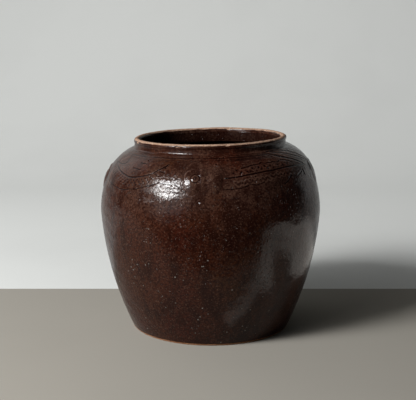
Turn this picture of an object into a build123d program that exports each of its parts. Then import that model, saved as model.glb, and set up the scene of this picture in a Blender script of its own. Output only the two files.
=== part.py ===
from build123d import *
import math
import os
from typing import NamedTuple

# Wide-mouthed stoneware storage jar, built up from separately made clay members
# that are bevelled and luted to each other. Millimetres, +Z up, origin at the
# centre of the flat foot. Azimuths are seen from above, from -Y round to +X.

# Sizes of the outer form, each rise measured up from the member below
foot_radius = 122.3
foot_arris = 1.2
foot_band_height = 3.0
foot_band_flare = 1.5
belly_radius = 170.0
lower_wall_rise = 179.0
lower_wall_bulge = 8.5
upper_wall_rise = 58.0
upper_wall_lean = 11.0
upper_wall_bulge = 2.7
shoulder_rise = 41.6
shoulder_bulge = 6.2
mouth_radius = 108.0
neck_thickness = 8.2
neck_root_flare = 3.3
neck_rise = 7.9
neck_hollow = 1.5

# Thicknesses of the clay
wall_thickness = 9.0
slab_thickness = 14.0
corner_coil_leg = 13.0
corner_coil_hollow = 2.0

# Bevelled seams, where the inner edge lies higher up the wall than the outer
scarf_rise = 6.0

# The lip, a rolled coil that stands a little proud of the neck
lip_overhang = 1.0
lip_underside_rise = 2.3

# Applied masks on the shoulder: two domed lobes side by side, each with a stamped
# ring for an eye, a nose ridge between them and a muzzle below
mask_lobe_ball_radius = 22.0
mask_lobe_proud = 3.4
mask_lobe_spread = 15.0
mask_eye_spread = 10.0
mask_eye_drop = 3.0
mask_nose_radius = 4.2
mask_nose_proud = 4.4
mask_nose_length = 16.0
mask_muzzle_ball_radius = 14.8
mask_muzzle_proud = 4.0
mask_muzzle_drop = 12.0
stamp_ring_radius = 4.1
stamp_ring_roll = 1.0
stamp_groove_radius = 6.2
stamp_groove_roll = 0.9
stamp_pit_radius = 1.9

# Where each mask sits, by eye: its way round the jar and its rise on the shoulder
front_mask_azimuth = -4.0
front_mask_rise = 15.0
right_mask_azimuth = 86.0
right_mask_rise = 10.0
back_mask_azimuth = 175.0
back_mask_rise = 12.0
left_mask_azimuth = -92.0
left_mask_rise = 6.0


class MaskPlace(NamedTuple):
    """Where one mask sits."""

    azimuth: float
    rise: float


mask_places = {
    "front_mask": MaskPlace(front_mask_azimuth, front_mask_rise),
    "right_mask": MaskPlace(right_mask_azimuth, right_mask_rise),
    "back_mask": MaskPlace(back_mask_azimuth, back_mask_rise),
    "left_mask": MaskPlace(left_mask_azimuth, left_mask_rise),
}

# Heights of the seams on the outer face, worked out from the rises
belly_height = foot_band_height + lower_wall_rise
shoulder_height = belly_height + upper_wall_rise
neck_root_height = shoulder_height + shoulder_rise
lip_seat_height = neck_root_height + neck_rise

# Radii and thickness of the neck and lip, worked out from the mouth's
neck_waist_radius = mouth_radius + neck_thickness
neck_root_radius = neck_waist_radius + neck_root_flare
lip_thickness = neck_thickness + lip_overhang

# Points of the outer face, in the plane of a half section: X is the radius and
# Y is the height
foot_corner = Vector(foot_radius, 0)
foot_band_top = Vector(foot_radius + foot_band_flare, foot_band_height)
belly_corner = Vector(belly_radius, belly_height)
shoulder_corner = Vector(belly_radius - upper_wall_lean, shoulder_height)
neck_root = Vector(neck_root_radius, neck_root_height)
neck_top = Vector(neck_waist_radius, lip_seat_height)


def bulged_arc(start, end, bulge):
    """An upward arc of the outer face that stands out of its chord by bulge."""
    return SagittaArc(start, end, -bulge)


lower_face = bulged_arc(foot_band_top, belly_corner, lower_wall_bulge)
upper_face = bulged_arc(belly_corner, shoulder_corner, upper_wall_bulge)
shoulder_face = bulged_arc(shoulder_corner, neck_root, shoulder_bulge)


def inward(tangent):
    """The direction into the clay, for an upward tangent of the outer face."""
    return Vector(-tangent.Y, tangent.X)


def seam_inner_edge(face_below, face_above):
    """The inner edge of the bevelled seam between two outer faces."""
    tangent = (face_below % 1 + face_above % 0).normalized()
    return face_below @ 1 + inward(tangent) * wall_thickness + tangent * scarf_rise


def inner_arc(face, start, end):
    """The inner face behind an outer one, a wall's thickness away halfway up."""
    middle = face @ 0.5 + inward(face % 0.5) * wall_thickness
    return ThreePointArc(start, middle, end)


def wall_foot():
    """The inner lower edge of the lower wall, where it meets the slab's top."""
    tangent = lower_face % 0
    behind = foot_band_top + inward(tangent) * wall_thickness
    return behind + tangent * ((slab_thickness - behind.Y) / tangent.Y)


slab_edge = wall_foot()
coil_top = slab_edge + (lower_face % 0) * corner_coil_leg
belly_seam = seam_inner_edge(lower_face, upper_face)
shoulder_seam = seam_inner_edge(upper_face, shoulder_face)
throat_edge = Vector(mouth_radius, neck_root_height - wall_thickness)


def turned(*edges):
    """A ring or disc of clay, turned about the jar's axis from its section."""
    section = make_face(Wire(edges))
    upright = Plane.XZ.location * section
    return revolve(upright, axis=Axis.Z)


def base_slab():
    """The flat disc that the jar stands on, with a bevelled rim."""
    arris_inner = Vector(foot_radius - foot_arris, 0)
    arris_outer = foot_corner + (foot_band_top - foot_corner).normalized() * foot_arris
    slab_centre_top = Vector(0, slab_thickness)
    outline = Polyline(
        (0, 0), arris_inner, arris_outer, foot_band_top, slab_edge, slab_centre_top,
        close=True,
    )
    return turned(*outline.edges())


def corner_coil():
    """The coil pressed into the corner between the slab and the lower wall."""
    slab_side = slab_edge - Vector(corner_coil_leg, 0)
    return turned(
        Line(slab_edge, coil_top),
        SagittaArc(coil_top, slab_side, corner_coil_hollow),
        Line(slab_side, slab_edge),
    )


def lower_wall():
    """The wall from the foot band up to the belly."""
    return turned(
        lower_face,
        Line(belly_corner, belly_seam),
        inner_arc(lower_face, belly_seam, coil_top),
        Line(coil_top, slab_edge),
        Line(slab_edge, foot_band_top),
    )


def upper_wall():
    """The wall from the belly up to the shoulder."""
    return turned(
        upper_face,
        Line(shoulder_corner, shoulder_seam),
        inner_arc(upper_face, shoulder_seam, belly_seam),
        Line(belly_seam, belly_corner),
    )


def shoulder_wall():
    """The domed shoulder, from the upper wall in to the neck."""
    return turned(
        shoulder_face,
        Line(neck_root, throat_edge),
        inner_arc(shoulder_face, throat_edge, shoulder_seam),
        Line(shoulder_seam, shoulder_corner),
    )


def neck_ring():
    """The short upright neck, hollow at its foot, with a plain bore."""
    bore_top = Vector(mouth_radius, lip_seat_height)
    return turned(
        SagittaArc(neck_root, neck_top, neck_hollow),
        Line(neck_top, bore_top),
        Line(bore_top, throat_edge),
        Line(throat_edge, neck_root),
    )


def lip_coil():
    """The rolled lip, round on top, with its foot drawn in to the neck."""
    roll_radius = lip_thickness / 2
    roll_height = lip_seat_height + lip_underside_rise
    inner_side = Vector(mouth_radius, roll_height)
    outer_side = inner_side + Vector(lip_thickness, 0)
    crown = inner_side + Vector(roll_radius, roll_radius)
    bore_bottom = Vector(mouth_radius, lip_seat_height)
    return turned(
        TangentArc(outer_side, neck_top, tangent=(0, -1)),
        ThreePointArc(outer_side, crown, inner_side),
        Line(inner_side, bore_bottom),
        Line(bore_bottom, neck_top),
    )


def ball_at(across, up, proud, ball_radius):
    """A ball sunk into the wall until it stands proud, with its poles laid across."""
    return Pos(across, up, proud - ball_radius) * Rot(0, 90, 0) * Sphere(ball_radius)


def mask_eye(side):
    """The tools that raise and sink one eye on its lobe, side -1 left or 1 right."""
    lobe_depth = mask_lobe_proud - mask_lobe_ball_radius
    lobe_centre = Vector(side * mask_lobe_spread, 0, lobe_depth)
    away = Vector(side * mask_eye_spread, -mask_eye_drop, lobe_depth) - lobe_centre
    reach = math.sqrt(mask_lobe_ball_radius**2 - away.length**2)
    out_of_lobe = away + Vector(0, 0, reach)
    seat = Plane(origin=lobe_centre + out_of_lobe, z_dir=out_of_lobe).location
    ring = seat * Torus(stamp_ring_radius, stamp_ring_roll)
    groove = seat * Torus(stamp_groove_radius, stamp_groove_roll)
    pit = seat * Sphere(stamp_pit_radius)
    return ring, groove + pit


def mask_nose():
    """The rounded ridge that runs down between the eyes."""
    level = mask_nose_proud - mask_nose_radius
    ridge = Pos(0, 0, level) * Rot(90, 0, 0) * Cylinder(mask_nose_radius, mask_nose_length)
    for end in (-mask_nose_length / 2, mask_nose_length / 2):
        ridge += Pos(0, end, level) * Sphere(mask_nose_radius)
    return ridge


def mask_blank():
    """A mask on its own plane, sunk deep enough to be trimmed to the wall."""
    blank = ball_at(-mask_lobe_spread, 0, mask_lobe_proud, mask_lobe_ball_radius)
    blank += ball_at(mask_lobe_spread, 0, mask_lobe_proud, mask_lobe_ball_radius)
    blank += ball_at(0, -mask_muzzle_drop, mask_muzzle_proud, mask_muzzle_ball_radius)
    blank += mask_nose()
    for side in (-1, 1):
        raised, sunk = mask_eye(side)
        blank = blank + raised - sunk
    return blank


def mask_seat(place):
    """The plane on the shoulder's face where a mask sits, Z out of the wall."""
    height = shoulder_height + place.rise
    arc_centre = shoulder_face.arc_center
    across = math.sqrt(shoulder_face.radius**2 - (height - arc_centre.Y) ** 2)
    seat_radius = arc_centre.X + across
    slope = math.atan2(height - arc_centre.Y, across)
    turn = math.radians(place.azimuth)
    way_out = Vector(math.sin(turn), -math.cos(turn), 0)
    way_round = Vector(math.cos(turn), math.sin(turn), 0)
    normal = way_out * math.cos(slope) + Vector(0, 0, math.sin(slope))
    seat = way_out * seat_radius + Vector(0, 0, height)
    return Plane(origin=seat, x_dir=way_round, z_dir=normal)


def mask(place, shoulder, wall):
    """A mask in its place, its back trimmed to the faces that carry it."""
    seat = mask_seat(place)
    pieces = (seat.location * mask_blank() - shoulder - wall).solids()
    return max(pieces, key=lambda piece: (piece.center() - seat.origin).dot(seat.z_dir))


def jar_nodes():
    """Every member of the jar under its own name."""
    nodes = {
        "base_slab": base_slab(),
        "corner_coil": corner_coil(),
        "lower_wall": lower_wall(),
        "upper_wall": upper_wall(),
        "shoulder_wall": shoulder_wall(),
        "neck_ring": neck_ring(),
        "lip_coil": lip_coil(),
    }
    for name, place in mask_places.items():
        nodes[name] = mask(place, nodes["shoulder_wall"], nodes["upper_wall"])
    return nodes


os.makedirs("parts", exist_ok=True)
for node_name, node_shape in jar_nodes().items():
    export_step(node_shape, f"parts/{node_name}.step")
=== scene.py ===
"""Looks of a squat, wide-mouthed stoneware storage jar, dressed round its packed clay members.

Every visible skin comes from one half section of the jar, measured in millimetres. A place on
the jar is an azimuth in degrees, seen from above from the front (-Y) round to the right (+X),
and a length in millimetres along the section, from the foot's corner up over the outside.
"""

import logging
from dataclasses import dataclass, field, replace
from enum import Enum
from typing import Iterable, NamedTuple, Sequence

import bpy
import numpy as np
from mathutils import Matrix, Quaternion, Vector

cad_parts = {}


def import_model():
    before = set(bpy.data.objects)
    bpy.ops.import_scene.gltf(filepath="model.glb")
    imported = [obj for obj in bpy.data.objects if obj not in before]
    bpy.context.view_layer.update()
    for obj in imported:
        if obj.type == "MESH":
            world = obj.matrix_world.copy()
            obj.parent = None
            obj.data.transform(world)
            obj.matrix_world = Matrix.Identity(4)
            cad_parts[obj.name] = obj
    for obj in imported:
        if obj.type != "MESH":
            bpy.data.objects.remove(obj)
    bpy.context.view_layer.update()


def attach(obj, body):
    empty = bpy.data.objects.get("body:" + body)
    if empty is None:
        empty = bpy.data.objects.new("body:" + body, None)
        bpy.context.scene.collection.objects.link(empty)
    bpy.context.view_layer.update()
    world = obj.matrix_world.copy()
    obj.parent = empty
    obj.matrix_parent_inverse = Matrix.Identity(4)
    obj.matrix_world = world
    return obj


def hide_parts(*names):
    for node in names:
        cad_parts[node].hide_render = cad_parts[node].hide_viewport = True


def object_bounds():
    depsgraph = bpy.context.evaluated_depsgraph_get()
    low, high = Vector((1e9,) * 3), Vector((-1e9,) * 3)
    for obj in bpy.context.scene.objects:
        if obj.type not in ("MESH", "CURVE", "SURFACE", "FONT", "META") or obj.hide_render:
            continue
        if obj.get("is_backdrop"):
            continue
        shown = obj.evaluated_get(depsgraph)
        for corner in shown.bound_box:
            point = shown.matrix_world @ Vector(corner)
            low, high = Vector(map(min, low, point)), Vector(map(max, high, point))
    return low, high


LOG = logging.getLogger("jar")
MM = 0.001
COLUMNS = 960

Array = np.ndarray
Colour = tuple[float, float, float]
Place = tuple[float, float]
Point = tuple[float, float, float]
Object = bpy.types.Object
Material = bpy.types.Material
Socket = bpy.types.NodeSocket


class Slot(Enum):
    """Names of material slots."""

    GLAZE = "brown_glaze"
    CLAY = "bare_clay"


def smoothstep(low: float, high: float, value: Array) -> Array:
    """Rises from 0 at low to 1 at high along 3 t squared minus 2 t cubed.

    Args:
        low: Where the rise starts.
        high: Where the rise ends.
        value: The values to weigh.

    Returns:
        The weights, from 0 to 1.
    """
    part = np.clip((value - low) / (high - low), 0.0, 1.0)
    return part * part * (3.0 - 2.0 * part)


def bell(distance: Array, width: float) -> Array:
    """A curve that is 1 at no distance: e to the power of minus (distance / width) squared."""
    return np.exp(-((distance / width) ** 2))


def round_from(azimuth: Array, centre: float) -> Array:
    """Degrees round the jar from a centre line to each azimuth, from -180 to 180."""
    return (azimuth - centre + 180.0) % 360.0 - 180.0


class Waves(NamedTuple):
    """An uneven line round the jar: a sum of cosines of whole numbers of waves."""

    height: float
    slowest: int
    fastest: int
    seed: int

    def line(self, azimuth: Array) -> Array:
        """Height times the sum of strength times cos(waves times azimuth plus phase).

        The phases are drawn evenly, and the strengths from a bell of width 1 over the square
        root of how many cosines there are.

        Args:
            azimuth: Where it is wanted, in degrees.

        Returns:
            Its value at each azimuth, mostly between -height and height.
        """
        rng = np.random.default_rng(self.seed)
        waves = np.arange(self.slowest, self.fastest + 1)
        strength = rng.normal(size=waves.size) / np.sqrt(waves.size)
        phase = rng.uniform(0.0, 2.0 * np.pi, waves.size)
        turns = np.radians(azimuth)[..., None] * waves + phase
        return self.height * (np.cos(turns) * strength).sum(-1)


@dataclass(frozen=True)
class Arc:
    """An arc of the section between two points, standing out of its chord by bulge.

    A positive bulge lies on the right of the way from start to end. One under the flattest
    counts as none, and the arc is then its chord.
    """

    start: Place
    end: Place
    bulge: float = 0.0

    flattest = 1e-6

    def points(self, pitch: float) -> Array:
        """Points about pitch apart, without the last one.

        With c the chord and b the bulge, half the arc's angle is a = 2 atan(2b / c) and its
        radius R = c / (2 sin a). The point at t from -1 to 1 lies R sin(ta) along the chord
        from its middle and R (cos(ta) - cos a) to its right.

        Args:
            pitch: The wanted distance between points.

        Returns:
            The points, one row each.
        """
        start, end = np.array(self.start), np.array(self.end)
        chord = end - start
        length = np.hypot(*chord)
        along = chord / length
        right = np.array([along[1], -along[0]])
        count = max(2, int(round(length / pitch)))
        part = np.linspace(-1.0, 1.0, count, endpoint=False)[:, None]
        middle = (start + end) / 2.0
        if abs(self.bulge) < self.flattest:
            return middle + part * chord / 2.0
        half = 2.0 * np.arctan(2.0 * self.bulge / length)
        radius = length / (2.0 * np.sin(half))
        rise = radius * (np.cos(part * half) - np.cos(half))
        return middle + radius * np.sin(part * half) * along + rise * right

    def tangent(self, at_end: bool) -> Array:
        """The direction of travel at one end: the chord's, turned by half the arc's angle.

        Args:
            at_end: Whether it is wanted at the end, not the start.

        Returns:
            The unit direction.
        """
        chord = np.array(self.end) - np.array(self.start)
        half = 2.0 * np.arctan(2.0 * self.bulge / np.hypot(*chord))
        turn = half if at_end else -half
        cosine, sine = np.cos(turn), np.sin(turn)
        direction = chord / np.hypot(*chord)
        return np.array([
            direction[0] * cosine - direction[1] * sine,
            direction[0] * sine + direction[1] * cosine,
        ])


@dataclass(frozen=True)
class Section:
    """The jar's half section, with the sizes of the CAD members in millimetres."""

    foot_radius: float = 122.3
    foot_arris: float = 1.2
    foot_arris_bulge: float = 0.35
    foot_flare: float = 0.4
    foot_band_top: Place = (123.8, 3.0)
    belly: Place = (170.0, 182.0)
    shoulder: Place = (159.0, 240.0)
    neck_root: Place = (119.5, 281.6)
    neck_top: Place = (116.2, 289.5)
    lip_side: Place = (117.2, 291.8)
    mouth_radius: float = 108.0
    lower_bulge: float = 8.5
    upper_bulge: float = 2.7
    shoulder_bulge: float = 6.2
    neck_hollow: float = 0.72
    neck_bend: Place = (116.6, 284.4)
    collar_hollow: float = 0.15
    lip_foot_bulge: float = 0.26
    wall: float = 9.0
    scarf: float = 6.0
    slab: float = 14.0
    coil_leg: float = 13.0
    coil_hollow: float = 2.0
    pitch: float = 0.1

    @property
    def lower_face(self) -> Arc:
        """The outer face from the foot band to the belly."""
        return Arc(self.foot_band_top, self.belly, self.lower_bulge)

    @property
    def upper_face(self) -> Arc:
        """The outer face from the belly to the shoulder."""
        return Arc(self.belly, self.shoulder, self.upper_bulge)

    @property
    def shoulder_face(self) -> Arc:
        """The outer face from the shoulder in to the neck."""
        return Arc(self.shoulder, self.neck_root, self.shoulder_bulge)

    def seam(self, below: Arc, above: Arc) -> Place:
        """The inner edge of the bevelled seam between two outer faces.

        It lies a wall's thickness into the clay and a scarf's rise along the mean direction.

        Args:
            below: The face under the seam.
            above: The face over the seam.

        Returns:
            The point of the section.
        """
        tangent = below.tangent(True) + above.tangent(False)
        tangent /= np.hypot(*tangent)
        inward = np.array([-tangent[1], tangent[0]])
        point = np.array(below.end) + inward * self.wall + tangent * self.scarf
        return float(point[0]), float(point[1])

    def inner_face(self, outer: Arc, start: Place, end: Place) -> Arc:
        """The face behind an outer one, travelled downwards.

        Its bulge is how far the point a wall's thickness behind the outer face's middle lies
        from the chord, and it lies on the left of the way down.

        Args:
            outer: The face in front of it.
            start: Its upper end.
            end: Its lower end.

        Returns:
            The inner arc.
        """
        chord = np.array(outer.end) - np.array(outer.start)
        along = chord / np.hypot(*chord)
        right = np.array([along[1], -along[0]])
        middle = (np.array(outer.start) + np.array(outer.end)) / 2.0
        behind = middle + right * (outer.bulge - self.wall)
        down = np.array(end) - np.array(start)
        away = behind - np.array(start)
        bulge = (away[0] * down[1] - away[1] * down[0]) / np.hypot(*down)
        return Arc(start, end, float(bulge))

    @property
    def shoulder_seam(self) -> Place:
        """The inner edge of the seam between the upper wall and the shoulder."""
        return self.seam(self.upper_face, self.shoulder_face)

    @property
    def belly_seam(self) -> Place:
        """The inner edge of the seam between the lower and the upper wall."""
        return self.seam(self.lower_face, self.upper_face)

    @property
    def slab_edge(self) -> Place:
        """The inner lower edge of the lower wall, on the slab's top.

        Returns:
            Its radius and height.
        """
        tangent = self.lower_face.tangent(False)
        inward = np.array([-tangent[1], tangent[0]])
        behind = np.array(self.foot_band_top) + inward * self.wall
        point = behind + tangent * ((self.slab - behind[1]) / tangent[1])
        return float(point[0]), float(point[1])

    @property
    def coil_top(self) -> Place:
        """The upper edge of the coil that fills the inner corner."""
        point = np.array(self.slab_edge) + self.lower_face.tangent(False) * self.coil_leg
        return float(point[0]), float(point[1])

    @property
    def coil_side(self) -> Place:
        """The inner edge of the coil that fills the inner corner."""
        return self.slab_edge[0] - self.coil_leg, self.slab


class Mark(Enum):
    """Where the section passes from one member or face to the next."""

    FOOT_CENTRE = "centre of the underside"
    FOOT_CORNER = "foot corner"
    BAND_TOP = "foot band"
    BELLY = "belly"
    SHOULDER = "shoulder"
    NECK_ROOT = "neck root"
    NECK_TOP = "neck top"
    LIP_SIDE = "lip side"
    LIP_INSIDE = "inner side of the lip"
    BORE_TOP = "bore below the lip"
    THROAT = "throat"
    SHOULDER_SEAM = "inner shoulder seam"
    BELLY_SEAM = "inner belly seam"
    COIL_TOP = "coil top"
    COIL_SIDE = "coil side"
    FLOOR_CENTRE = "centre of the floor"


class Skin:
    """The jar's whole skin, from the underside's centre over the lip to the inner floor.

    It leans by tilts in degrees and shifts in millimetres at four heights. Corners at the soft
    marks are blurred more than the others. An out-of-round, turning ridges and dents lie over
    the outside, and the squeezes turn millimetres along it into degrees of their waves.
    """

    lean_heights = (0.0, 180.0, 265.0, 296.0)
    lean_tilts = (0.0, 0.0, 1.8, 1.26)
    lean_shifts = (0.0, 0.0, -0.9, -0.7)
    soft_marks = (Mark.BELLY, Mark.SHOULDER, Mark.SHOULDER_SEAM, Mark.BELLY_SEAM, Mark.THROAT)
    soft_reach = 9.0
    soft_blur = 4.0
    crisp_blur = 0.35
    uneven_from = (4.0, 60.0)
    even_below_neck = 45.0
    out_of_round = Waves(0.55, 2, 5, 11)
    ridges = Waves(0.05, 3, 40, 7)
    ridges_squeeze = 2.1
    ridges_mean = 0.6
    ridges_drift = Waves(0.4, 1, 4, 5)
    dents_round = Waves(0.15, 9, 26, 23)
    dents_up = Waves(1.0, 2, 14, 3)
    dents_squeeze = 1.7

    def __init__(self, section: Section, carving: "Carving") -> None:
        """Lays the section's arcs end to end and smooths their corners.

        Args:
            section: The half section.
            carving: What is cut into the outside.
        """
        self.section = section
        self.carving = carving
        self.marks: dict[Mark, float] = {}
        self._lay(section)

    @staticmethod
    def _runs(s: Section) -> list[tuple[Mark, Arc]]:
        """The arcs of the section with the mark at the start of each.

        Args:
            s: The half section.

        Returns:
            Marks and arcs, from the underside's centre to the floor's.
        """
        foot_start = (s.foot_radius - s.foot_arris, 0.0)
        foot_side = (s.foot_radius + s.foot_flare * s.foot_arris, s.foot_arris)
        lip_start = (s.mouth_radius, s.lip_side[1])
        roll = (s.lip_side[0] - s.mouth_radius) / 2.0
        throat = (s.mouth_radius, s.neck_root[1] - s.wall)
        return [
            (Mark.FOOT_CENTRE, Arc((0.0, 0.0), foot_start)),
            (Mark.FOOT_CORNER, Arc(foot_start, foot_side, s.foot_arris_bulge)),
            (Mark.FOOT_CORNER, Arc(foot_side, s.foot_band_top)),
            (Mark.BAND_TOP, s.lower_face),
            (Mark.BELLY, s.upper_face),
            (Mark.SHOULDER, s.shoulder_face),
            (Mark.NECK_ROOT, Arc(s.neck_root, s.neck_bend, -s.neck_hollow)),
            (Mark.NECK_ROOT, Arc(s.neck_bend, s.neck_top, -s.collar_hollow)),
            (Mark.NECK_TOP, Arc(s.neck_top, s.lip_side, s.lip_foot_bulge)),
            (Mark.LIP_SIDE, Arc(s.lip_side, lip_start, roll)),
            (Mark.LIP_INSIDE, Arc(lip_start, (s.mouth_radius, s.neck_top[1]))),
            (Mark.BORE_TOP, Arc((s.mouth_radius, s.neck_top[1]), throat)),
            (Mark.THROAT, s.inner_face(s.shoulder_face, throat, s.shoulder_seam)),
            (Mark.SHOULDER_SEAM, s.inner_face(s.upper_face, s.shoulder_seam, s.belly_seam)),
            (Mark.BELLY_SEAM, s.inner_face(s.lower_face, s.belly_seam, s.coil_top)),
            (Mark.COIL_TOP, Arc(s.coil_top, s.coil_side, -s.coil_hollow)),
            (Mark.COIL_SIDE, Arc(s.coil_side, (0.0, s.slab))),
        ]

    def _lay(self, section: Section) -> None:
        """Samples the runs evenly, with each mark's length, and smooths the corners.

        The path is one lightly blurred all over, mixed with a softer one by a bell round each
        soft mark. A normal is the direction of travel turned a quarter to the right.

        Args:
            section: The half section.
        """
        rows, starts = [], []
        for mark, arc in self._runs(section):
            starts.append((mark, sum(len(row) for row in rows)))
            rows.append(arc.points(section.pitch))
        rows.append(np.array([[0.0, section.slab]]))
        path = np.concatenate(rows)
        length = np.concatenate([[0.0], np.cumsum(np.hypot(*np.diff(path, axis=0).T))])
        for mark, index in starts:
            self.marks.setdefault(mark, float(length[index]))
        self.marks[Mark.FLOOR_CENTRE] = float(length[-1])
        origin = self.marks[Mark.FOOT_CORNER]
        self.marks = {mark: value - origin for mark, value in self.marks.items()}
        self.length = np.arange(-origin, self.marks[Mark.FLOOR_CENTRE], section.pitch)
        places = self.length + origin
        even = np.column_stack([np.interp(places, length, path[:, k]) for k in (0, 1)])
        crisp, soft = self._blurred(even, self.crisp_blur), self._blurred(even, self.soft_blur)
        soft_places = [self.marks[mark] for mark in self.soft_marks]
        weight = sum(bell(self.length - place, self.soft_reach) for place in soft_places)
        weight = np.minimum(weight, 1.0)[:, None]
        self.path = crisp * (1.0 - weight) + soft * weight
        direction = np.gradient(self.path, axis=0)
        direction /= np.hypot(*direction.T)[:, None]
        self.normal = np.column_stack([direction[:, 1], -direction[:, 0]])

    def _blurred(self, path: Array, sigma: float) -> Array:
        """The path averaged under a bell of sigma millimetres, its ends held in place.

        Args:
            path: Points of the section, evenly spaced.
            sigma: The bell's standard deviation, which is cut off at four times that.

        Returns:
            The blurred points.
        """
        reach = int(4.0 * sigma / self.section.pitch)
        share = np.exp(-0.5 * (np.arange(-reach, reach + 1) * self.section.pitch / sigma) ** 2)
        share /= share.sum()
        held = np.pad(path, ((reach, reach), (0, 0)), mode="reflect", reflect_type="odd")
        return np.column_stack([np.convolve(held[:, k], share, "valid") for k in (0, 1)])

    def radius(self, along: Array) -> Array:
        """The skin's radius at lengths along the section."""
        return np.interp(along, self.length, self.path[:, 0])

    def unevenness(self, azimuth: Array, along: Array) -> Array:
        """How far the hand-built skin stands off the true section, in millimetres.

        A slow out-of-round of two to five waves, plus turning ridges whose strength drifts
        round the jar, fading to nothing at the foot, the neck and inside.

        Args:
            azimuth: Degrees, one for each column.
            along: Millimetres, one for each row.

        Returns:
            A grid of offsets, rows by columns.
        """
        top = self.marks[Mark.NECK_ROOT]
        window = smoothstep(*self.uneven_from, along)
        window = window * (1.0 - smoothstep(top - self.even_below_neck, top, along))
        slow = self.out_of_round.line(azimuth)[None, :]
        swing = self.ridges.line(along * self.ridges_squeeze)[:, None]
        drift = self.ridges_mean + self.ridges_drift.line(azimuth)[None, :]
        dents = self.dents_up.line(along * self.dents_squeeze)[:, None]
        dents = self.dents_round.line(azimuth)[None, :] * dents
        return window[:, None] * (slow + swing * drift + dents)

    def relief(self, azimuth: Array, along: Array) -> Array:
        """The carved relief on a grid of columns and rows, in millimetres."""
        return self.carving.depth(azimuth, along, self.radius(along))

    def points(self, azimuth: Array, along: Array, lift: Array | float = 0.0) -> Array:
        """Points of the skin, lifted off it, in millimetres.

        A point is the section's point plus lift times its normal, turned to its azimuth and
        then leaned as the real jar leans: its height grows by tilt(z) times x, and x shifts.

        Args:
            azimuth: Degrees, broadcast against along.
            along: Millimetres along the section.
            lift: How far out of the skin.

        Returns:
            The points, with x, y and z last.
        """
        azimuth, along = np.broadcast_arrays(azimuth, along)
        radius = np.interp(along, self.length, self.path[:, 0])
        height = np.interp(along, self.length, self.path[:, 1])
        radius = radius + lift * np.interp(along, self.length, self.normal[:, 0])
        height = height + lift * np.interp(along, self.length, self.normal[:, 1])
        turn = np.radians(azimuth)
        x, y = radius * np.sin(turn), -radius * np.cos(turn)
        tilt = np.radians(np.interp(height, self.lean_heights, self.lean_tilts))
        shift = np.interp(height, self.lean_heights, self.lean_shifts)
        return np.stack([x + shift, y, height + tilt * x], axis=-1)


@dataclass(frozen=True)
class Stroke:
    """A groove drawn with a blunt tool along a line of places, with a raised rim each side."""

    line: tuple[Place, ...]
    width: float = 0.85
    depth: float = 0.3
    rim: float = 0.06

    rim_away = 2.1
    rim_wide = 0.8

    def shape(self, distance: Array) -> Array:
        """The groove across its line: a bell cut down, and a low bell beside it.

        Args:
            distance: Millimetres from the line.

        Returns:
            Millimetres out of the skin.
        """
        beside = bell(distance - self.rim_away * self.width, self.rim_wide * self.width)
        return self.rim * beside - self.depth * bell(distance, self.width)

    def moved(self, turn: float) -> "Stroke":
        """The same stroke further round the jar by turn degrees."""
        return replace(self, line=tuple((azimuth + turn, along) for azimuth, along in self.line))


@dataclass(frozen=True)
class Punches(Stroke):
    """Separate round punch marks at the line's places."""

    width: float = 1.6
    depth: float = 0.36


def zigzag(start: Place, end: Place, period: float, swing: float) -> tuple[Place, ...]:
    """A zigzag line between two places.

    Args:
        start: Its first place.
        end: Its last place.
        period: Degrees from one tooth to the next.
        swing: Millimetres from the middle to a tooth's tip.

    Returns:
        The corners of the line.
    """
    count = int(round(2.0 * abs(end[0] - start[0]) / period))
    part = np.linspace(0.0, 1.0, count + 1)
    azimuth = start[0] + part * (end[0] - start[0])
    along = start[1] + part * (end[1] - start[1]) + swing * (-1.0) ** np.arange(count + 1)
    return tuple(zip(azimuth.tolist(), along.tolist()))


def rows_of_punches(line: Sequence[Place], step: float,
                    drops: Sequence[float]) -> tuple[Place, ...]:
    """Staggered rows of places that follow a line below it.

    Args:
        line: The line that they follow.
        step: Degrees from one place to the next.
        drops: Millimetres below the line, one for each row.

    Returns:
        The places.
    """
    line_azimuth, line_along = np.array(line).T
    rows = []
    for index, drop in enumerate(drops):
        azimuth = np.arange(line_azimuth[0] + step * (0.5 + 0.5 * index), line_azimuth[-1], step)
        along = np.interp(azimuth, line_azimuth, line_along) - drop
        rows += list(zip(azimuth.tolist(), along.tolist()))
    return tuple(rows)


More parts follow.
